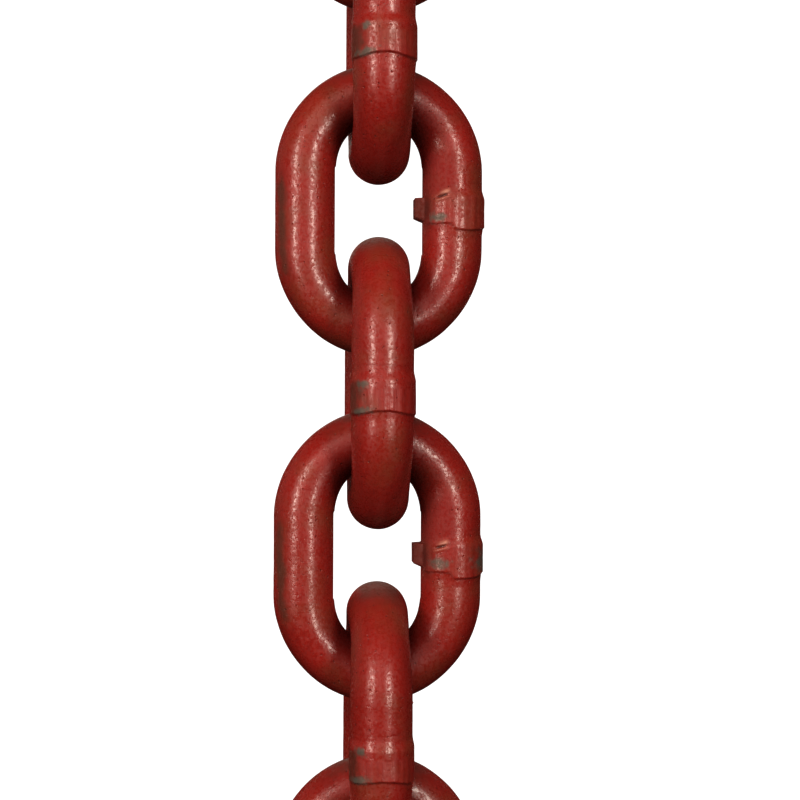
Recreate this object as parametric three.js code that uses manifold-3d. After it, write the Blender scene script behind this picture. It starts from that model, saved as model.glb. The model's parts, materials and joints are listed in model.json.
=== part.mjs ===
// A length of welded steel binder chain, hanging straight, as a three.js scene graph in millimetres, +Z up.
// Each link is one piece of round bar, bent to an oval and flash-welded at the middle of one leg.
// Links alternate a quarter turn about the chain's axis. The origin is the bearing point of the top link's
// eye, where a hook or a shackle pin carries the chain, and the chain hangs along -Z from it.
import * as THREE from "three";
import { ParametricGeometry } from "three/addons/geometries/ParametricGeometry.js";
import { mergeVertices } from "three/addons/utils/BufferGeometryUtils.js";
import Module from "manifold-3d";

// Driving dimensions: 3/8 in (10 mm) binder chain.
const LINK_COUNT = 21;
const WIRE_D = 10;
const INSIDE_WIDTH = 14;
const INSIDE_LENGTH = 28.5;
const BEARING_GAP = 0.3; // free play between two links where one bears on the next

// The oval: two straight legs joined by two slightly pointed crowns, as ellipses of the bar's centreline.
const HALF_STRAIGHT = 6.35;
const SHOULDER_THINNING = 0.25; // the bar is drawn a little thinner where it bends hardest
const CROWN_THINNING = 0.3; // and it is stretched on the outer side of the crowns
const WIRE_R = WIRE_D / 2;
const LEG_OFFSET = INSIDE_WIDTH / 2 + WIRE_R; // from the chain's axis to a leg's centreline
const CROWN_RISE = INSIDE_LENGTH / 2 + WIRE_R - HALF_STRAIGHT; // from a leg's end to the crown's centreline
const PITCH = INSIDE_LENGTH - BEARING_GAP;

// The flash weld on one leg: a collar of upset metal round the bar, and the uncut fin on its inner side. Every
// other link is welded on a second machine, whose weld sits lower on the leg.
const COLLAR_LENGTH = 5.8;
const COLLAR_R = WIRE_R + 0.45;
const COLLAR_CHAMFER = 0.35;
const COLLAR_SHIFTS = [-2.3, -0.3]; // along the leg, from its middle, on the two machines
const FIN_SHIFTS = [-1.85, 0.15];
const FIN_HEIGHT = 1.3; // beyond the bar's surface, into the eye
const FIN_LENGTH = 3.8;
const FIN_WIDTH = 4.4;

// Facets.
const CROWN_STEPS = 12;
const BAR_SIDES = 12;

const wasm = await Module();
wasm.setup();

// A closed three.js geometry as a manifold-3d solid.
function solidOf(geometry) {
  const bare = geometry.clone();
  bare.deleteAttribute("normal");
  bare.deleteAttribute("uv");
  const merged = mergeVertices(bare, 1e-4);
  return new wasm.Manifold(
    new wasm.Mesh({
      numProp: 3,
      vertProperties: new Float32Array(merged.attributes.position.array),
      triVerts: new Uint32Array(merged.index.array),
    }),
  );
}

// A manifold-3d solid as a three.js geometry.
function geometryOf(solid) {
  const mesh = solid.getMesh();
  const geometry = new THREE.BufferGeometry();
  geometry.setAttribute("position", new THREE.BufferAttribute(mesh.vertProperties, mesh.numProp));
  geometry.setIndex(new THREE.BufferAttribute(mesh.triVerts, 1));
  const flat = geometry.toNonIndexed();
  flat.computeVertexNormals();
  return flat;
}

// The bar of one link, in the XZ plane with its eye along Y. The rings lie round the two crowns, and each
// straight leg is the long step from one crown's last ring to the other crown's first.
function barGeometry() {
  const rings = 2 * (CROWN_STEPS + 1);
  const surface = (u, v, target) => {
    const ring = Math.round(u * rings) % rings;
    const upper = ring <= CROWN_STEPS;
    const turn = (Math.PI * (upper ? ring : ring - 1)) / CROWN_STEPS;
    const round = 2 * Math.PI * v;
    const normal = new THREE.Vector2(Math.cos(turn) / LEG_OFFSET, Math.sin(turn) / CROWN_RISE).normalize();
    const stretched = Math.sin(turn) ** 4 * Math.max(Math.cos(round), 0);
    const barR = WIRE_R - SHOULDER_THINNING * Math.sin(2 * turn) ** 2 - CROWN_THINNING * stretched;
    const out = barR * Math.cos(round);
    target.set(
      LEG_OFFSET * Math.cos(turn) + normal.x * out,
      -barR * Math.sin(round),
      (upper ? HALF_STRAIGHT : -HALF_STRAIGHT) + CROWN_RISE * Math.sin(turn) + normal.y * out,
    );
  };
  return new ParametricGeometry(surface, rings, BAR_SIDES);
}

// The weld's collar and fin, on the leg at +X.
function weldSolid(collarShift, finShift) {
  const half = COLLAR_LENGTH / 2;
  const profile = [
    new THREE.Vector2(0, -half),
    new THREE.Vector2(COLLAR_R - COLLAR_CHAMFER, -half),
    new THREE.Vector2(COLLAR_R, -half + COLLAR_CHAMFER),
    new THREE.Vector2(COLLAR_R, half - COLLAR_CHAMFER),
    new THREE.Vector2(COLLAR_R - COLLAR_CHAMFER, half),
    new THREE.Vector2(0, half),
  ];
  const collar = new THREE.LatheGeometry(profile, BAR_SIDES);
  collar.rotateX(Math.PI / 2);
  collar.translate(LEG_OFFSET, 0, collarShift);
  const fin = new THREE.BoxGeometry(FIN_HEIGHT + WIRE_R, FIN_WIDTH, FIN_LENGTH);
  fin.translate(LEG_OFFSET - (FIN_HEIGHT + WIRE_R) / 2, 0, finShift);
  return solidOf(collar).add(solidOf(fin));
}

const barSolid = solidOf(barGeometry());
const linkGeometries = COLLAR_SHIFTS.map((collarShift, machine) =>
  geometryOf(barSolid.add(weldSolid(collarShift, FIN_SHIFTS[machine]))),
);

const paint = new THREE.MeshStandardMaterial({
  name: "red_paint",
  color: new THREE.Color(0.36, 0.035, 0.022),
  roughness: 0.42,
  metalness: 0.0,
});

function linkName(index) {
  if (index === 0) return "top_end_link";
  if (index === LINK_COUNT - 1) return "bottom_end_link";
  return "link_" + String(index + 1).padStart(2, "0");
}

// The first link and every second one after it stand edge-on, with their weld towards the front (-Y) and made
// on the first machine. The others lie in the XZ plane.
const chain = new THREE.Group();
for (let index = 0; index < LINK_COUNT; index++) {
  const link = new THREE.Mesh(linkGeometries[index % 2], paint.clone());
  link.name = linkName(index);
  link.position.z = -INSIDE_LENGTH / 2 - PITCH * index;
  link.rotation.z = index % 2 === 0 ? -Math.PI / 2 : 0;
  chain.add(link);
}

export default chain;
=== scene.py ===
import json
import math

import bpy
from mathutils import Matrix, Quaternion, Vector


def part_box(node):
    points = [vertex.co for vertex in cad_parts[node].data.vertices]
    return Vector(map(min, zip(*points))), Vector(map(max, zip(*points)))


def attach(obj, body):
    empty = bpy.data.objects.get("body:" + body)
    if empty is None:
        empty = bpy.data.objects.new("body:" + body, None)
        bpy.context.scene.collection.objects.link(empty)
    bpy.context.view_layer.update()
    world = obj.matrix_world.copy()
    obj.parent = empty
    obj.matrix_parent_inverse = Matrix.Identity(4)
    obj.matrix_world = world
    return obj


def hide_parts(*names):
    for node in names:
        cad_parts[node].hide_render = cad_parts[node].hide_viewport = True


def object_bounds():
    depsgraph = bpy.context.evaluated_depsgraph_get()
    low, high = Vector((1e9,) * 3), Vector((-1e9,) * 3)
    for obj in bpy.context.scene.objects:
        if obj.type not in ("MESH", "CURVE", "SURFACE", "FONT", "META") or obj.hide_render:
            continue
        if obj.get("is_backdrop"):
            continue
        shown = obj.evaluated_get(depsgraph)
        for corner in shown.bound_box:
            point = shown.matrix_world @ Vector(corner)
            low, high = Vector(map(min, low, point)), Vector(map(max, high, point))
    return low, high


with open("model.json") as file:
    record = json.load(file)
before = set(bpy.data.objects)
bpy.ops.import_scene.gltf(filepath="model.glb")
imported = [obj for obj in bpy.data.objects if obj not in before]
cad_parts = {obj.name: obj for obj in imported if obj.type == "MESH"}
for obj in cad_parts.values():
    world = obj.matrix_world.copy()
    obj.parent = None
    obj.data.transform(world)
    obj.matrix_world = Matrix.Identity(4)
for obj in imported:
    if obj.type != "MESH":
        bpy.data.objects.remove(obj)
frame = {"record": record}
cad_low, cad_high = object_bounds()
link_names = [part["node"] for part in frame["record"]["subparts"]]
MM = 0.001


# ---------------------------------------------------------------------------------------------------------
# The camera. It stands level with the middle link and close to it, a little to the left, so that the rear
# leg of each link that stands edge-on just shows beside its front leg. The chain hangs a hair off plumb.

CAMERA_DISTANCE = 294 * MM
CAMERA_AZIMUTH = math.radians(-3.5)
CAMERA_ROLL = math.radians(0.25)
FOCAL_LENGTH = 80.8
FRAME_SHIFT = (0.0275, -0.0212)

middle_low, middle_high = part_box(link_names[len(link_names) // 2])
eye_level = (middle_low.z + middle_high.z) / 2
back = Vector((math.sin(CAMERA_AZIMUTH), -math.cos(CAMERA_AZIMUTH), 0))
camera_data = bpy.data.cameras.new("camera")
camera_data.lens = FOCAL_LENGTH
camera_data.shift_x, camera_data.shift_y = FRAME_SHIFT
camera_data.clip_start = 10 * MM
camera = bpy.data.objects.new("camera", camera_data)
camera.location = Vector((0, 0, eye_level)) + CAMERA_DISTANCE * back
camera.rotation_mode = "QUATERNION"
camera.rotation_quaternion = (-back).to_track_quat("-Z", "Y") @ Quaternion((0, 0, 1), CAMERA_ROLL)
bpy.context.scene.collection.objects.link(camera)
bpy.context.scene.camera = camera


# ---------------------------------------------------------------------------------------------------------
# The bent link. Each is cut from round hot-rolled bar, bent hot round a mandrel to an oval with slightly
# pointed crowns, and closed by a flash weld in the middle of one leg. The bending thins the bar a little at
# the shoulders, and the mandrel leaves a narrow flat on the inner side of both legs.

BAR_DIAMETER = 10 * MM
INSIDE_WIDTH = 14 * MM
INSIDE_LENGTH = 28.5 * MM
STRAIGHT = 12.7 * MM  # the straight part of each leg
SHOULDER_THINNING = 0.25 * MM
CROWN_THINNING = 0.3 * MM  # on the outer side of the crowns, where the bar is stretched

# How finely the bar is divided: rings along the welded leg, the plain leg and one crown, and sides around.
WELD_LEG_RINGS = 110
PLAIN_LEG_RINGS = 26
CROWN_RINGS = 84
RINGS = WELD_LEG_RINGS + PLAIN_LEG_RINGS + 2 * CROWN_RINGS
SIDES = 120


class Field:
    """A number that changes over a surface. Its arithmetic adds nodes, so that a tree reads as formulas."""

    def __init__(self, tree, socket):
        self.tree = tree
        self.socket = socket

    def math(self, operation, *others):
        return node_output(self.tree, "ShaderNodeMath", (self, *others), operation=operation)

    def __add__(self, other):
        return self.math("ADD", other)

    def __sub__(self, other):
        return self.math("SUBTRACT", other)

    def __mul__(self, other):
        return self.math("MULTIPLY", other)

    def __truediv__(self, other):
        return self.math("DIVIDE", other)

    def __neg__(self):
        return self * -1.0

    def clamped(self):
        return node_output(self.tree, "ShaderNodeClamp", (self,))

    def step(self, start, end):
        """0 before start and 1 past end, with a smooth rise between. A start above the end makes a fall."""
        ends = (self, start, end)
        return node_output(self.tree, "ShaderNodeMapRange", ends, interpolation_type="SMOOTHSTEP")

    def hump(self, centre, width):
        """A bell curve of height 1 about the centre."""
        share = (self - centre) / width
        return (-(share * share)).math("EXPONENT")

    def towards(self, other, share):
        """This field where the share is 0, and the other where it is 1."""
        return node_output(self.tree, "ShaderNodeMix", (share, self, other))


def feed(tree, value, entry):
    """Links a field to a node's entry, or sets the entry to a plain value."""
    if isinstance(value, Field):
        tree.links.new(value.socket, entry)
    else:
        entry.default_value = value


def node_output(tree, kind, values, output=0, **settings):
    """Adds a node with its settings, feeds its open entries in order and gives one of its outputs."""
    node = tree.nodes.new(kind)
    for name, value in settings.items():
        setattr(node, name, value)
    entries = [entry for entry in node.inputs if entry.enabled]
    for entry, value in zip(entries, values):
        feed(tree, value, entry)
    return Field(tree, [socket for socket in node.outputs if socket.enabled][output])


def vector(tree, x, y, z):
    return node_output(tree, "ShaderNodeCombineXYZ", (x, y, z))


def parts_of(tree, value):
    return [node_output(tree, "ShaderNodeSeparateXYZ", (value,), output) for output in range(3)]


def noise(tree, place, size, detail=2.0):
    """Even noise from about -1 to 1, whose lumps are about that size."""
    scale = 1 / size if isinstance(size, float) else size.math("POWER", -1.0)
    return node_output(tree, "ShaderNodeTexNoise", (place, scale, detail)) * 2.0 - 1.0


link_tree = bpy.data.node_groups.new("bent_and_welded_link", "GeometryNodeTree")
link_tree.interface.new_socket("Link", in_out="OUTPUT", socket_type="NodeSocketGeometry")
link_entries = {}
for name, kind, value in (
    ("Bar Diameter", "Float", BAR_DIAMETER),
    ("Inside Width", "Float", INSIDE_WIDTH),
    ("Inside Length", "Float", INSIDE_LENGTH),
    ("Straight", "Float", STRAIGHT),
    ("Height", "Float", 0.0),
    ("Edge On", "Float", 0.0),
    ("Weld Drop", "Float", 0.0),
    ("Link Number", "Int", 0),
):
    entry = link_tree.interface.new_socket(name, in_out="INPUT", socket_type="NodeSocket" + kind)
    entry.default_value = value
    link_entries[name] = entry.identifier
group_in = link_tree.nodes.new("NodeGroupInput")
given = {entry.name: Field(link_tree, entry) for entry in group_in.outputs if entry.name}
link_number = given["Link Number"]
edge_on = given["Edge On"]
face_on = -edge_on + 1.0


def per_link(low, high, seed):
    """A random number for each link, the same on every run."""
    return node_output(link_tree, "FunctionNodeRandomValue", (low, high, link_number, seed))


# The bar starts as a grid, with a ring of the bar in each column and a side in each row.
grid = link_tree.nodes.new("GeometryNodeMeshGrid")
grid.inputs["Size X"].default_value = RINGS
grid.inputs["Size Y"].default_value = SIDES
grid.inputs["Vertices X"].default_value = RINGS + 1
grid.inputs["Vertices Y"].default_value = SIDES + 1
grid_place = node_output(link_tree, "GeometryNodeInputPosition", ())
grid_x, grid_y, _ = parts_of(link_tree, grid_place)
ring = grid_x + RINGS / 2
side = grid_y + SIDES / 2

# Round the oval: up the welded leg, over the upper crown, down the plain leg and through the lower crown.
weld_leg = (ring / WELD_LEG_RINGS).clamped()
upper_crown = ((ring - WELD_LEG_RINGS) / CROWN_RINGS).clamped()
plain_leg = ((ring - (WELD_LEG_RINGS + CROWN_RINGS)) / PLAIN_LEG_RINGS).clamped()
lower_crown = ((ring - (RINGS - CROWN_RINGS)) / CROWN_RINGS).clamped()
turn = (upper_crown + lower_crown) * math.pi
leg_offset = (given["Inside Width"] + given["Bar Diameter"]) / 2
crown_rise = (given["Inside Length"] + given["Bar Diameter"] - given["Straight"]) / 2
turn_cosine = turn.math("COSINE")
turn_sine = turn.math("SINE")
on_crown = turn_sine.math("ABSOLUTE")
centre_x = turn_cosine * leg_offset
centre_z = (weld_leg - plain_leg - 0.5) * given["Straight"] + turn_sine * crown_rise
slope_x = turn_cosine / leg_offset
slope_z = turn_sine / crown_rise
slope = (slope_x * slope_x + slope_z * slope_z).math("SQRT")

# Round the bar: the angle in degrees is 0 on the oval's outer side and 180 on its inner side.
round_bar = side * (2 * math.pi / SIDES)
outward = round_bar.math("COSINE")
frontward = round_bar.math("SINE")
inward = (-outward).math("MAXIMUM", 0.3)  # kept well above 0, because it divides
angle = -((round_bar * (180 / math.pi) - 180).math("ABSOLUTE") - 180)
front_side = frontward.math("SIGN")


def on_bar(radius):
    """The point at this radius from the bar's centreline."""
    x = centre_x + slope_x / slope * outward * radius
    y = frontward * radius * -1.0
    z = centre_z + slope_z / slope * outward * radius
    return x, y, z


bar_radius = given["Bar Diameter"] / 2 - (turn * 2).math("SINE").math("POWER", 2) * SHOULDER_THINNING
stretched = turn_sine.math("POWER", 4) * outward.math("MAXIMUM", 0.0)
bar_radius = bar_radius - stretched * CROWN_THINNING

# Rolling and scale leave low lumps, on each link from a patch of the noise of its own.
LUMP_HEIGHT = 0.10 * MM
LUMP_SIZE = 4.5 * MM
own_patch = vector(link_tree, link_number * 0.37, link_number * 0.11, 0.0)
bar_place = vector(link_tree, *on_bar(bar_radius))
lump_place = node_output(link_tree, "ShaderNodeVectorMath", (bar_place, own_patch), operation="ADD")
lumps = (noise(link_tree, lump_place, LUMP_SIZE) + 1) * (LUMP_HEIGHT / 2)
lumps = lumps + (noise(link_tree, lump_place, LUMP_SIZE / 4) + 1) * (LUMP_HEIGHT / 8)
radius = bar_radius - lumps

# The mandrel's flat, which runs out beyond both ends of the straight legs.
MANDREL_FLAT = 0.24 * MM
FLAT_HALF_LENGTH = 7.4 * MM
flat_radius = (bar_radius - MANDREL_FLAT) / inward
flat_length = centre_z.math("ABSOLUTE").step(FLAT_HALF_LENGTH + 0.3 * MM, FLAT_HALF_LENGTH - 0.1 * MM)
radius = radius.towards(radius.math("MINIMUM", flat_radius), flat_length)


# ---------------------------------------------------------------------------------------------------------
# The flash weld. The ends are burnt together under current and pressed, which squeezes a ring of metal out,
# and a shear trims it while it is hot. What stays is a low collar with sheared strips, a lap where a lip was
# folded over, and on the inner side, which the shear doesn't reach, an uncut fin.

# Where a point is: its height from the weld's middle, and on which leg and side. The waver is a slow change
# round the bar, different on each link.
up = centre_z + given["Weld Drop"]
on_weld_leg = centre_x.step(3 * MM, 6 * MM)
on_front = front_side.step(-0.5, 0.5)
weld_round = on_weld_leg * angle.step(165, 138)
waver_place = vector(link_tree, angle * 0.04, front_side * 3.0, link_number * 1.7)
waver = noise(link_tree, waver_place, 1.0)

# The collar's sharp lower edge. It sags from the oval's outer side to the front, and jumps up just past it.
EDGE_DEPTH = 2.75  # this and the next two in millimetres
EDGE_SAG = 0.6
EDGE_JUMP = 1.05
EDGE_WAVER = 0.25 * MM
EDGE_RAMP = 0.16 * MM
edge_shape = angle.step(0, 60) * -EDGE_SAG + angle.step(86, 98) * EDGE_JUMP - EDGE_DEPTH
lower_edge = edge_shape * MM + waver * EDGE_WAVER
above_edge = up.step(lower_edge - EDGE_RAMP, lower_edge + EDGE_RAMP)

# The collar itself, with a low swelling of the bar below it. It fades out upwards, and it is half as high on
# the oval's inner side. On links that stand edge-on it is lower still past the front.
COLLAR_HEIGHT = 0.40 * MM
COLLAR_FADE = (3.6 * MM, 1.7 * MM)
FILLET_HEIGHT = 0.13 * MM
FILLET_LENGTH = 1.5 * MM
INNER_SHARE = 0.5
FRONT_LOSS = 0.35
collar_fade = up.step(*COLLAR_FADE)
fillet = up.step(lower_edge - FILLET_LENGTH, lower_edge) * collar_fade * weld_round
full_height = angle.step(105, 40) * (1 - INNER_SHARE) + INNER_SHARE
full_height = full_height - on_front * angle.step(50, 85) * edge_on * FRONT_LOSS
collar = collar_fade * above_edge * weld_round * full_height
radius = radius + fillet * FILLET_HEIGHT + collar * (COLLAR_HEIGHT - FILLET_HEIGHT)

# The strips that the shear's teeth leave along the leg. They end lower on links that stand edge-on.
STRIP_WIDTH = 17.0  # degrees round the bar
STRIP_RELIEF = 0.13 * MM
STRIP_TOP = 2.0 * MM
STRIP_TOP_WAVER = 0.6 * MM
STRIP_TOP_DROP = 1.6 * MM
strip_place = angle * front_side / STRIP_WIDTH + per_link(0.0, 40.0, seed=3)
strips = node_output(link_tree, "ShaderNodeTexVoronoi", (strip_place, 1.0), voronoi_dimensions="1D")
strip_top = waver * STRIP_TOP_WAVER - edge_on * STRIP_TOP_DROP + STRIP_TOP
strip_zone = up.step(strip_top + 0.5 * MM, strip_top) * above_edge * weld_round
radius = radius + strip_zone * (strips * -STRIP_RELIEF + STRIP_RELIEF / 4)

# The lap: a short slanting crack between two lips, on one side of the leg.
LAP_START = 98  # degrees round the bar
LAP_HEIGHT = 2.35 * MM
LAP_SLANT = 0.024 * MM  # for each degree round the bar
CRACK_WIDTH = 0.17 * MM
CRACK_DEPTH = 0.32 * MM
LIP_HEIGHT = 0.30 * MM
lap_line = (angle - LAP_START) * -LAP_SLANT + LAP_HEIGHT + per_link(-0.3 * MM, 0.4 * MM, seed=5)
lap_side = on_weld_leg * on_front
lap_length = angle.step(96, 104) * angle.step(131, 121) * lap_side
above_lap = up - lap_line
crack = above_lap.hump(0.0, CRACK_WIDTH) * angle.step(101, 107) * angle.step(127, 119) * lap_side
upper_lip = above_lap.hump(0.50 * MM, 0.40 * MM) * angle.step(124, 106)
lower_lip = above_lap.hump(-0.42 * MM, 0.26 * MM) * 0.4
lips = (upper_lip + lower_lip) * lap_length
radius = radius - crack * CRACK_DEPTH + lips * LIP_HEIGHT

# A faint ring where the die that gripped the bar ended.
DIE_HEIGHT = 4.25 * MM
DIE_RING_WIDTH = 0.16 * MM
DIE_RING_DEPTH = 0.03 * MM
die_line = up - DIE_HEIGHT - waver * (0.3 * MM)
die_ring = die_line.hump(0.0, DIE_RING_WIDTH) * angle.step(75, 45) * waver.step(-0.5, 0.4)
die_ring = die_ring * on_weld_leg
radius = radius - die_ring * DIE_RING_DEPTH

# The fin: a flat-topped block with a slanted foot.
FIN_HEIGHT = 1.25 * MM
FIN_TOP = 2.05 * MM
FIN_FOOT = -1.75 * MM
FIN_SLANT = 0.6 * MM
FIN_RAMP = 0.06 * MM
FIN_SIDE = 160.0  # degrees round the bar
FIN_SIDE_RAMP = 1.5
fin_rise = ((up - FIN_FOOT) / FIN_SLANT).clamped() * FIN_HEIGHT
fin_radius = (given["Bar Diameter"] / 2 + fin_rise) / inward
fin = angle.step(FIN_SIDE - FIN_SIDE_RAMP, FIN_SIDE + FIN_SIDE_RAMP) * on_weld_leg
fin = fin * up.step(FIN_FOOT - FIN_RAMP, FIN_FOOT + FIN_RAMP)
fin = fin * up.step(FIN_TOP + FIN_RAMP, FIN_TOP - FIN_RAMP)
radius = radius.towards(fin_radius - lumps, fin)


# ---------------------------------------------------------------------------------------------------------
# The wear. Links knock and drag on each other and on the load, which rubs the paint off the weld's high
# spots, scores the plain leg and polishes the crowns where they bear. Each mark is a field from 0 to 1,
# placed by degrees round the bar and by its height from the weld.

# Rubbed to the steel: in spots on the front of the collar, and on some links on its outer side.
rub_angle = angle - per_link(-5.0, 5.0, seed=7)
rub_up = up - per_link(-0.35 * MM, 0.35 * MM, seed=8)
rub_spot = rub_angle.hump(40, 13) * rub_up.hump(1.4 * MM, 0.8 * MM) * edge_on
rub_edge = rub_angle.hump(42, 24) * (up - lower_edge).hump(0.45 * MM, 0.7 * MM) * edge_on
rub_front = rub_angle.hump(115, 20) * rub_up.hump(-1.1 * MM, 1.05 * MM) * face_on
outer_wear = (link_number * 0.9).math("FRACT").step(0.6, 0.9)
rub_outer = angle.hump(14, 38) * up.hump(-0.7 * MM, 2.1 * MM) * outer_wear * face_on
rub = rub_spot.math("MAXIMUM", rub_front).math("MAXIMUM", rub_edge).math("MAXIMUM", rub_outer)
rub = rub * on_weld_leg * on_front

# From the weld's heat: scorched paint on the fin and beside it, dull paint above the lap and a brown stain
# on the collar. The dark line under the collar's edge is painted shadow.
scorch = (fin + angle.step(120, 150) * up.hump(0.0, 3.2 * MM) * on_weld_leg).clamped()
heated = angle.step(78, 98) * up.step(12 * MM, 8 * MM) * up.step(1.8 * MM, 3.2 * MM)
heated = heated * on_weld_leg * face_on
stain = angle.hump(62, 26) * up.step(2.6 * MM, 1.0 * MM) * above_edge
stain = stain * on_weld_leg * on_front * edge_on
painted_shadow_under_edge = (up - lower_edge).hump(-0.16 * MM, 0.20 * MM) * weld_round

# On the plain leg: a drag mark that runs down its front and slants inwards below its middle.
DRAG_BEND = 1.0 * MM
DRAG_SLANT = 700.0  # degrees round the bar for each metre
drag_path = (centre_z - DRAG_BEND) * -DRAG_SLANT
drag = (angle - drag_path.math("MAXIMUM", 0.0)).hump(36, 15)
drag = drag * centre_z.step(8.0 * MM, 3.0 * MM) * centre_z.step(-13.0 * MM, -7.0 * MM)
drag = drag * centre_x.step(-3 * MM, -6 * MM) * on_front

# On the crowns: the polished bearing place, painted shade in the inner corner round it, and a grey cap on
# the top that is partly scuffed paint and partly a painted grazing sheen.
bearing = angle.step(128, 152) * on_crown.step(0.8, 0.97)
painted_nook_shade = angle.step(75, 140) * on_crown.step(0.1, 0.8)
crown_top = angle.step(80, 25) * turn_sine.step(0.75, 1.0)

marks = {
    "flash": strip_zone * full_height,
    "rub": rub,
    # Painted shade: dark in the lap's crack, in a line under the collar's edge and faintly in the die's
    # ring.
    "painted_crease_shade": crack.math("MAXIMUM", painted_shadow_under_edge * 0.35).math("MAXIMUM", die_ring * 0.15),
    "lip": lips,
    "painted_nook_shade": painted_nook_shade,
    "crown_top": crown_top,
    "stain": stain,
    "heated": heated,
    "scorch": scorch,
    "drag": drag,
    "bearing": bearing,
}

# Spatter from the weld sticks to the bar, most of it near the weld. None stays on the collar, on the crowns'
# tips and on the oval's outermost side, where the links rub it off.
SPATTER_AT_WELD = 14000.0  # beads on a square metre
SPATTER_ELSEWHERE = 1500.0
near_weld = up.math("ABSOLUTE").step(9 * MM, 4 * MM) * on_weld_leg
spatter = (near_weld * SPATTER_AT_WELD + SPATTER_ELSEWHERE) * on_crown.step(0.9, 0.7)
spatter = spatter * angle.step(18, 32) * collar.step(0.1, 0.0)

# Where a point lies in the bar's own section and along the leg, for lines that run along the bar.
section = vector(link_tree, outward * BAR_DIAMETER / 2, frontward * BAR_DIAMETER / 2, centre_z)


def stored(geometry, name, value, **settings):
    """The geometry with a field kept on it by name."""
    entries = (geometry, True, name, value)
    return node_output(link_tree, "GeometryNodeStoreNamedAttribute", entries, **settings)


weathered = Field(link_tree, grid.outputs["Mesh"])
for name, value in marks.items():
    weathered = stored(weathered, name, value)
weathered = stored(weathered, "spatter", spatter)
weathered = stored(weathered, "section", section, data_type="FLOAT_VECTOR")

# Each link a quarter turn from the next: one that stands edge-on has its weld to the front.
x, y, z = on_bar(radius)
placed = vector(link_tree, x.towards(y, edge_on), y.towards(-x, edge_on), z + given["Height"])
bar = node_output(link_tree, "GeometryNodeSetPosition", (weathered, True, placed))
bar = node_output(link_tree, "GeometryNodeMergeByDistance", (bar, True, 0.01 * MM))
bar = node_output(link_tree, "GeometryNodeSetShadeSmooth", (bar, True, True))

# The beads of spatter: small drops of steel, stuck half sunk in the bar and painted over with it.
BEAD_RADII = (0.10 * MM, 0.24 * MM)
scattered = link_tree.nodes.new("GeometryNodeDistributePointsOnFaces")
bead_density = node_output(link_tree, "GeometryNodeInputNamedAttribute", ("spatter",))
feed(link_tree, bar, scattered.inputs["Mesh"])
feed(link_tree, bead_density, scattered.inputs["Density"])
feed(link_tree, link_number + 11, scattered.inputs["Seed"])
bead = node_output(link_tree, "GeometryNodeMeshIcoSphere", (1.0, 2))
bead = node_output(link_tree, "GeometryNodeSetShadeSmooth", (bead, True, True))
bead = stored(bead, "bead", 1.0)
bead_radius = node_output(link_tree, "FunctionNodeRandomValue", BEAD_RADII)
beads = link_tree.nodes.new("GeometryNodeInstanceOnPoints")
feed(link_tree, Field(link_tree, scattered.outputs["Points"]), beads.inputs["Points"])
feed(link_tree, bead, beads.inputs["Instance"])
feed(link_tree, Field(link_tree, scattered.outputs["Rotation"]), beads.inputs["Rotation"])
feed(link_tree, vector(link_tree, bead_radius, bead_radius, bead_radius * 0.6), beads.inputs["Scale"])
joined = link_tree.nodes.new("GeometryNodeJoinGeometry")
for geometry in (bar.socket, beads.outputs["Instances"]):
    link_tree.links.new(geometry, joined.inputs[0])
whole_link = node_output(link_tree, "GeometryNodeRealizeInstances", (Field(link_tree, joined.outputs[0]),))


# ---------------------------------------------------------------------------------------------------------
# The paint. The finished chain is drawn through a bath of dark red paint, which dries half glossy over mill
# scale, grit and small pits. It is thin on the sheared strips, and rubbed to the steel where links have
# knocked and dragged. Every colour is linear.

PAINT_RED = (0.325, 0.023, 0.016, 1)
PAINT_BROWN = (0.25, 0.052, 0.026, 1)
PAINT_DEEP = (0.25, 0.012, 0.009, 1)
BARE_STEEL = (0.17, 0.145, 0.12, 1)
SCORCH_BROWN = (0.11, 0.018, 0.011, 1)
DRAG_BROWN = (0.095, 0.040, 0.022, 1)
# Painted shade for cracks, pits and the line under the collar's edge.
CREASE_PAINTED_SHADE = (0.030, 0.008, 0.006, 1)
# Thin worn paint on the lap's lips, with a painted highlight where they face up.
LIP_WEAR_AND_HIGHLIGHT = (0.62, 0.30, 0.23, 1)
STAIN_BROWN = (0.085, 0.033, 0.018, 1)
# Scuffed paint and a painted grazing sheen on the crown tops.
CROWN_SCUFF_AND_SHEEN_GREY = (0.15, 0.062, 0.048, 1)
# Painted shade for the crowns' inner corners.
NOOK_PAINTED_SHADE = (0.085, 0.005, 0.004, 1)
BEARING_STEEL = (0.085, 0.060, 0.050, 1)
PAINT_ROUGHNESS = 0.25
PAINT_SPECULAR = 0.85
MOTTLE_SIZE = 0.9 * MM
GRAIN_SIZE = 0.42 * MM
GRAIN_HEIGHT = 0.014 * MM
SHEARED_GRAIN_LOSS = 0.005 * MM  # the shear smooths the grain on its strips
SHEAR_LINE_HEIGHT = 0.014 * MM
PAINT_THICKNESS = 0.02 * MM


def shader_group(name, entries, exits):
    """An empty shader node group, its entries as fields by name, and the node that takes its exits."""
    tree = bpy.data.node_groups.new(name, "ShaderNodeTree")
    for label, kind, value in entries:
        entry = tree.interface.new_socket(label, in_out="INPUT", socket_type="NodeSocket" + kind)
        if value is not None:
            entry.default_value = value
    for label, kind in exits:
        tree.interface.new_socket(label, in_out="OUTPUT", socket_type="NodeSocket" + kind)
    inside = tree.nodes.new("NodeGroupInput")
    fields = {entry.name: Field(tree, entry) for entry in inside.outputs if entry.name}
    return tree, fields, tree.nodes.new("NodeGroupOutput")


def use_group(tree, group, **values):
    """Places a node group in a material and gives its outputs by name. An entry's words are joined by _."""
    node = tree.nodes.new("ShaderNodeGroup")
    node.node_tree = group
    for name, value in values.items():
        feed(tree, value, node.inputs[name.replace("_", " ").title()])
    return {socket.name: Field(tree, socket) for socket in node.outputs}


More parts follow.
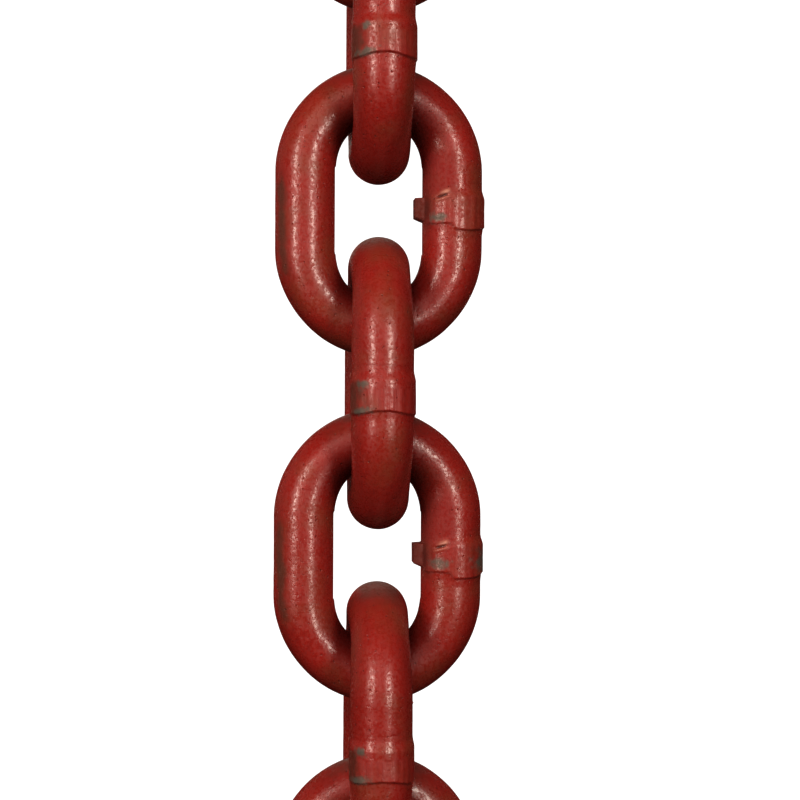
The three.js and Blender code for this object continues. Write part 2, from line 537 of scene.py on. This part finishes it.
def blend_colours(tree, first, second, share):
    """The first colour where the share is 0, and the second where it is 1."""
    return node_output(tree, "ShaderNodeMix", (share, first, second), data_type="RGBA")


# The film: red paint, browner in wide clouds and deeper in fine mottles.
film_tree, film, film_out = shader_group(
    "dipped_paint_film",
    (
        ("Place", "Vector", None),
        ("Red", "Color", PAINT_RED),
        ("Brown", "Color", PAINT_BROWN),
        ("Deep", "Color", PAINT_DEEP),
        ("Cloud Size", "Float", 6 * MM),
    ),
    (("Colour", "Color"),),
)
clouds = noise(film_tree, film["Place"], film["Cloud Size"], 3.0)
mottle = noise(film_tree, film["Place"], MOTTLE_SIZE, 2.0)
film_colour = blend_colours(film_tree, film["Red"], film["Brown"], clouds.step(-0.2, 0.6) * 0.8)
film_colour = blend_colours(film_tree, film_colour, film["Deep"], mottle.step(-0.1, 0.6) * 0.45)
feed(film_tree, film_colour, film_out.inputs["Colour"])

# The grit and scale under the film: close dimples, and here and there a small pit.
grit_tree, grit, grit_out = shader_group(
    "grit_and_pits_under_paint",
    (
        ("Place", "Vector", None),
        ("Grain Size", "Float", GRAIN_SIZE),
        ("Grain Height", "Float", GRAIN_HEIGHT),
        ("Pit Spacing", "Float", 1.0 * MM),
        ("Pit Radius", "Float", 0.20 * MM),
        ("Pit Depth", "Float", 0.07 * MM),
    ),
    (("Height", "Float"), ("Pits", "Float")),
)
grain = noise(grit_tree, grit["Place"], grit["Grain Size"], 2.0)
dimples = grain.step(0.05, 0.45)
swell = noise(grit_tree, grit["Place"], grit["Grain Size"] * 3.0, 1.0)
cells = grit_tree.nodes.new("ShaderNodeTexVoronoi")
feed(grit_tree, grit["Place"], cells.inputs["Vector"])
feed(grit_tree, grit["Pit Spacing"].math("POWER", -1.0), cells.inputs["Scale"])
cell_distance = Field(grit_tree, cells.outputs["Distance"]) * grit["Pit Spacing"]
cell_draw, _, _ = parts_of(grit_tree, Field(grit_tree, cells.outputs["Color"]))
pits = cell_distance.step(grit["Pit Radius"], grit["Pit Radius"] * 0.3) * cell_draw.step(0.60, 0.65)
grit_height = (swell - dimples) * grit["Grain Height"] - pits * grit["Pit Depth"]
feed(grit_tree, grit_height, grit_out.inputs["Height"])
feed(grit_tree, pits.math("MAXIMUM", dimples * 0.2), grit_out.inputs["Pits"])

# A rubbed place: where it has torn through to the steel, and the wider edge where the film is only thin.
rubbed_tree, rubbed, rubbed_out = shader_group(
    "rubbed_through",
    (
        ("Place", "Vector", None),
        ("Where", "Float", 0.0),
        ("Tear Size", "Float", 0.8 * MM),
    ),
    (("Bare", "Float"), ("Thin", "Float")),
)
tears = noise(rubbed_tree, rubbed["Place"], rubbed["Tear Size"], 4.0) * 0.75
bare_share = (rubbed["Where"] + tears).step(0.15, 1.0) * rubbed["Where"].step(0.02, 0.2)
feed(rubbed_tree, bare_share, rubbed_out.inputs["Bare"])
feed(rubbed_tree, (rubbed["Where"] + tears * 0.8).step(0.1, 0.95), rubbed_out.inputs["Thin"])


def attribute(tree, name, output="Fac"):
    """What the link's shape keeps by this name."""
    node = tree.nodes.new("ShaderNodeAttribute")
    node.attribute_name = name
    return Field(tree, node.outputs[output])


def paint_material(name):
    """An empty paint: its tree, its Principled shader and the object's own coordinates."""
    material = bpy.data.materials.new(name)
    material.use_nodes = True
    tree = material.node_tree
    shader = tree.nodes["Principled BSDF"]
    shader.inputs["Roughness"].default_value = PAINT_ROUGHNESS
    shader.inputs["Specular IOR Level"].default_value = PAINT_SPECULAR
    own_place = Field(tree, tree.nodes.new("ShaderNodeTexCoord").outputs["Object"])
    return material, tree, shader, own_place


def bump(tree, height, shader):
    """Heights are in metres."""
    node = tree.nodes.new("ShaderNodeBump")
    node.inputs["Strength"].default_value = 1.0
    node.inputs["Distance"].default_value = 1.0
    feed(tree, height, node.inputs["Height"])
    tree.links.new(node.outputs["Normal"], shader.inputs["Normal"])


bar_paint, tree, shader, own_place = paint_material("red_paint_on_bar")
shown = {name: attribute(tree, name) for name in marks}
weather = noise(tree, own_place, 1.6 * MM, 3.0)
speckle = noise(tree, own_place, 0.55 * MM, 2.0)

# The shear's lines run along the leg, so their noise is drawn out that way.
section_x, section_y, section_z = parts_of(tree, attribute(tree, "section", "Vector"))
drawn_place = vector(tree, section_x, section_y, section_z * 0.06)
shear_lines = noise(tree, drawn_place, 0.35 * MM, 1.5)
sheared = shown["flash"].step(0.2, 0.9)

grain_left = shown["flash"].step(0.0, 0.8) * -SHEARED_GRAIN_LOSS + GRAIN_HEIGHT
surface = use_group(tree, grit_tree, place=own_place, grain_height=grain_left)
worn = use_group(tree, rubbed_tree, place=own_place, where=shown["rub"])
dragged = use_group(tree, rubbed_tree, place=own_place, where=shown["drag"] * 0.9, tear_size=2.4 * MM)
bearing_wear = shown["bearing"] * 0.85
polished = use_group(tree, rubbed_tree, place=own_place, where=bearing_wear, tear_size=1.6 * MM)

# The colour, layer on layer from the clean film to the bare steel.
paint = use_group(tree, film_tree, place=own_place)["Colour"]
# The crown tops get a grey cap, partly scuffed paint and partly a painted grazing sheen.
scuffs_and_sheen = (weather * 0.5 + shown["crown_top"]).step(0.1, 1.1) * shown["crown_top"]
stains = (weather * 0.6 + shown["stain"]).step(0.2, 1.0)
for colour, share in (
    # Painted shade in the inner corners of the crowns, where the next link crosses.
    (NOOK_PAINTED_SHADE, shown["painted_nook_shade"] * 0.85),
    (PAINT_DEEP, shown["heated"] * 0.6),
    (CROWN_SCUFF_AND_SHEEN_GREY, scuffs_and_sheen * 0.8),
    (STAIN_BROWN, stains * 0.7),
    (SCORCH_BROWN, shown["scorch"] * 0.8),
    (PAINT_DEEP, shear_lines.step(-0.1, 0.5) * sheared * 0.5),
    # The lips are paler: thin paint worn at their edges, and a painted highlight where they face up.
    (LIP_WEAR_AND_HIGHLIGHT, shown["lip"] * 0.75),
    (DRAG_BROWN, dragged["Thin"] * 0.7),
    # Painted shade in the crack, under the collar's edge, in the die's ring and in the grit's pits and
    # dimples.
    (CREASE_PAINTED_SHADE, (shown["painted_crease_shade"] * 0.85).math("MAXIMUM", surface["Pits"] * 0.35)),
    (BEARING_STEEL, polished["Thin"] * 0.8),
    (BARE_STEEL, worn["Bare"] * 0.85),
):
    paint = blend_colours(tree, paint, colour, share)
feed(tree, paint, shader.inputs["Base Color"])

# The shine. Every mark dulls the film by its share, and only bare steel is partly a metal.
bare = worn["Bare"].math("MAXIMUM", polished["Bare"])
feed(tree, bare * 0.35, shader.inputs["Metallic"])
dull = bare * 0.16 + surface["Pits"] * 0.2
for name, share in (
    ("scorch", 0.45),
    ("flash", 0.10),
    ("drag", 0.2),
    ("heated", 0.45),
    ("crown_top", 0.15),
    ("stain", 0.15),
):
    dull = dull + shown[name] * share
dull = dull + speckle.step(-0.2, 0.4) * 0.28
feed(tree, dull + PAINT_ROUGHNESS, shader.inputs["Roughness"])
relief = surface["Height"] - bare * PAINT_THICKNESS + shear_lines * sheared * SHEAR_LINE_HEIGHT
bump(tree, relief, shader)

# The same film over the beads of spatter, on a smaller scale.
bead_paint, tree, shader, own_place = paint_material("red_paint_on_beads")
bead_colour = use_group(tree, film_tree, place=own_place, cloud_size=2 * MM)["Colour"]
bead_surface = use_group(tree, grit_tree, place=own_place, grain_size=0.3 * MM, grain_height=0.004 * MM)
feed(tree, bead_colour, shader.inputs["Base Color"])
bump(tree, bead_surface["Height"], shader)

painted = node_output(link_tree, "GeometryNodeSetMaterial", (whole_link, True, bar_paint))
is_bead = node_output(link_tree, "GeometryNodeInputNamedAttribute", ("bead",)).math("GREATER_THAN", 0.5)
painted = node_output(link_tree, "GeometryNodeSetMaterial", (painted, is_bead, bead_paint))
group_out = link_tree.nodes.new("NodeGroupOutput")
feed(link_tree, painted, group_out.inputs["Link"])


# ---------------------------------------------------------------------------------------------------------
# The chain. The links hang in each other's crowns, turned by a quarter turn from one to the next. Every
# other link is welded on a second machine, whose weld sits lower on the leg and is less steady in height.

LOW_WELD_DROPS = (2.45 * MM, 1.55 * MM)

for number, name in enumerate(link_names):
    low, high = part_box(name)
    stands_edge_on = high.y - low.y > high.x - low.x
    blank = bpy.data.objects.new("painted_" + name, bpy.data.meshes.new("blank"))
    bpy.context.scene.collection.objects.link(blank)
    bending = blank.modifiers.new("bending", "NODES")
    bending.node_group = link_tree
    for entry, value in {
        "Bar Diameter": BAR_DIAMETER,
        "Inside Width": INSIDE_WIDTH,
        "Inside Length": high.z - low.z - 2 * (BAR_DIAMETER - CROWN_THINNING),
        "Straight": STRAIGHT,
        "Height": (low.z + high.z) / 2,
        "Edge On": 1.0 if stands_edge_on else 0.0,
        "Weld Drop": LOW_WELD_DROPS[number // 2 % 2] if stands_edge_on else 0.0,
        "Link Number": number,
    }.items():
        bending[link_entries[entry]] = value
    evaluated = bpy.context.evaluated_depsgraph_get()
    mesh = bpy.data.meshes.new_from_object(
        blank.evaluated_get(evaluated), preserve_all_data_layers=True, depsgraph=evaluated
    )
    blank.modifiers.remove(bending)
    blank.data = mesh
    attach(blank, name)
    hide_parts(name)


# ---------------------------------------------------------------------------------------------------------
# The studio. Two narrow soft boxes stand in front to the left and right with a faint panel between them, a
# dim panel stands on the left and another hangs behind. Three fills, one above in front and two behind,
# give light but no glare. The walls are dark, and the pale floor fades into the white backdrop.

BACKDROP = (1.0, 1.0, 1.0, 1)
WALL_GREY = (0.024, 0.022, 0.019, 1)
CEILING_GREY = (0.036, 0.034, 0.030, 1)
FLOOR_DARK = (0.006, 0.005, 0.004, 1)
SOFT_BOX_WHITE = (1.0, 0.98, 0.88)
EXPOSURE = 0.27
GAMMA = 0.79


def soft_box(name, azimuth, distance, width, bottom, top, power, glare=True):
    """A soft box between two heights above the chain's middle. Azimuth runs from the front to the right."""
    light = bpy.data.lights.new(name, "AREA")
    light.shape = "RECTANGLE"
    light.size = width
    light.size_y = top - bottom
    light.energy = power
    light.color = SOFT_BOX_WHITE
    box = bpy.data.objects.new(name, light)
    turn_round = math.radians(azimuth)
    sideways = Vector((math.sin(turn_round), -math.cos(turn_round), 0))
    box.location = sideways * distance + Vector((0, 0, eye_level + (bottom + top) / 2))
    box.rotation_euler = sideways.to_track_quat("Z", "Y").to_euler()
    box.visible_camera = False
    box.visible_glossy = glare
    bpy.context.scene.collection.objects.link(box)


# Azimuth in degrees, distance, width, bottom and top in metres, and power in watts.
soft_box("left_soft_box", -41, 0.8, 0.155, -0.10, 0.37, 2.5)
soft_box("right_soft_box", 25, 0.8, 0.145, -0.13, 0.36, 2.7)
soft_box("upper_soft_box", -16, 0.8, 0.45, 0.36, 0.80, 5.7, glare=False)
soft_box("front_panel", -8, 0.8, 0.36, -0.12, 0.36, 0.20)
soft_box("left_panel", -108, 0.9, 0.80, -0.10, 0.60, 0.27)
soft_box("rear_soft_box", 180, 0.9, 0.50, 0.12, 0.85, 0.55)
soft_box("rear_left_fill", -140, 0.9, 0.20, -0.25, 0.70, 4.4, glare=False)
soft_box("rear_right_fill", 140, 0.9, 0.20, -0.25, 0.70, 4.4, glare=False)

# The paint reflects dark walls, a little lighter towards the ceiling. The camera sees only the backdrop.
world = bpy.data.worlds.new("studio")
world.use_nodes = True
bpy.context.scene.world = world
tree = world.node_tree
tree.nodes.clear()
_, _, upward = parts_of(tree, Field(tree, tree.nodes.new("ShaderNodeTexCoord").outputs["Generated"]))
walls = blend_colours(tree, FLOOR_DARK, WALL_GREY, upward.step(-0.5, 0.1))
walls = blend_colours(tree, walls, CEILING_GREY, upward.step(0.2, 0.8))
around = tree.nodes.new("ShaderNodeBackground")
feed(tree, walls, around.inputs["Color"])
behind = tree.nodes.new("ShaderNodeBackground")
behind.inputs["Color"].default_value = BACKDROP
choice = tree.nodes.new("ShaderNodeMixShader")
path = tree.nodes.new("ShaderNodeLightPath")
tree.links.new(path.outputs["Is Camera Ray"], choice.inputs[0])
tree.links.new(around.outputs[0], choice.inputs[1])
tree.links.new(behind.outputs[0], choice.inputs[2])
tree.links.new(choice.outputs[0], tree.nodes.new("ShaderNodeOutputWorld").inputs["Surface"])
bpy.context.scene.view_settings.view_transform = "Standard"
bpy.context.scene.view_settings.exposure = EXPOSURE
bpy.context.scene.view_settings.gamma = GAMMA

# The floor is a round sheet that glows of itself. It neither lights the chain nor shows in its paint.
FLOOR_RADIUS = 1.0
FLOOR_CORNERS = 96
FLOOR_DROP = 0.04  # below the chain's lowest point
FLOOR_GREY = (0.06, 0.06, 0.06, 1)
FLOOR_PALE = (0.60, 0.595, 0.58, 1)
FLOOR_RIM = (0.82, 0.82, 0.82, 1)
floor_material = bpy.data.materials.new("pale_floor")
floor_material.use_nodes = True
tree = floor_material.node_tree
shader = tree.nodes["Principled BSDF"]
shader.inputs["Base Color"].default_value = FLOOR_GREY
shader.inputs["Roughness"].default_value = 0.9
shader.inputs["Emission Strength"].default_value = 1.0
floor_x, floor_y, _ = parts_of(tree, Field(tree, tree.nodes.new("ShaderNodeTexCoord").outputs["Object"]))
from_middle = (floor_x * floor_x + floor_y * floor_y).math("SQRT")
floor_glow = blend_colours(tree, FLOOR_PALE, FLOOR_RIM, from_middle.step(0.1, FLOOR_RADIUS))
feed(tree, floor_glow, shader.inputs["Emission Color"])
floor_mesh = bpy.data.meshes.new("floor")
corner_turns = [2 * math.pi * corner / FLOOR_CORNERS for corner in range(FLOOR_CORNERS)]
floor_points = [
    (FLOOR_RADIUS * math.cos(turned), FLOOR_RADIUS * math.sin(turned), cad_low.z - FLOOR_DROP)
    for turned in corner_turns
]
floor_mesh.from_pydata(floor_points, [], [range(FLOOR_CORNERS)])
floor_mesh.materials.append(floor_material)
floor = bpy.data.objects.new("floor", floor_mesh)
floor.visible_diffuse = False
floor.visible_glossy = False
bpy.context.scene.collection.objects.link(floor)
floor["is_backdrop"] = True


# ---------------------------------------------------------------------------------------------------------
# The sizes of the CAD model and of what is shown.

low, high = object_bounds()
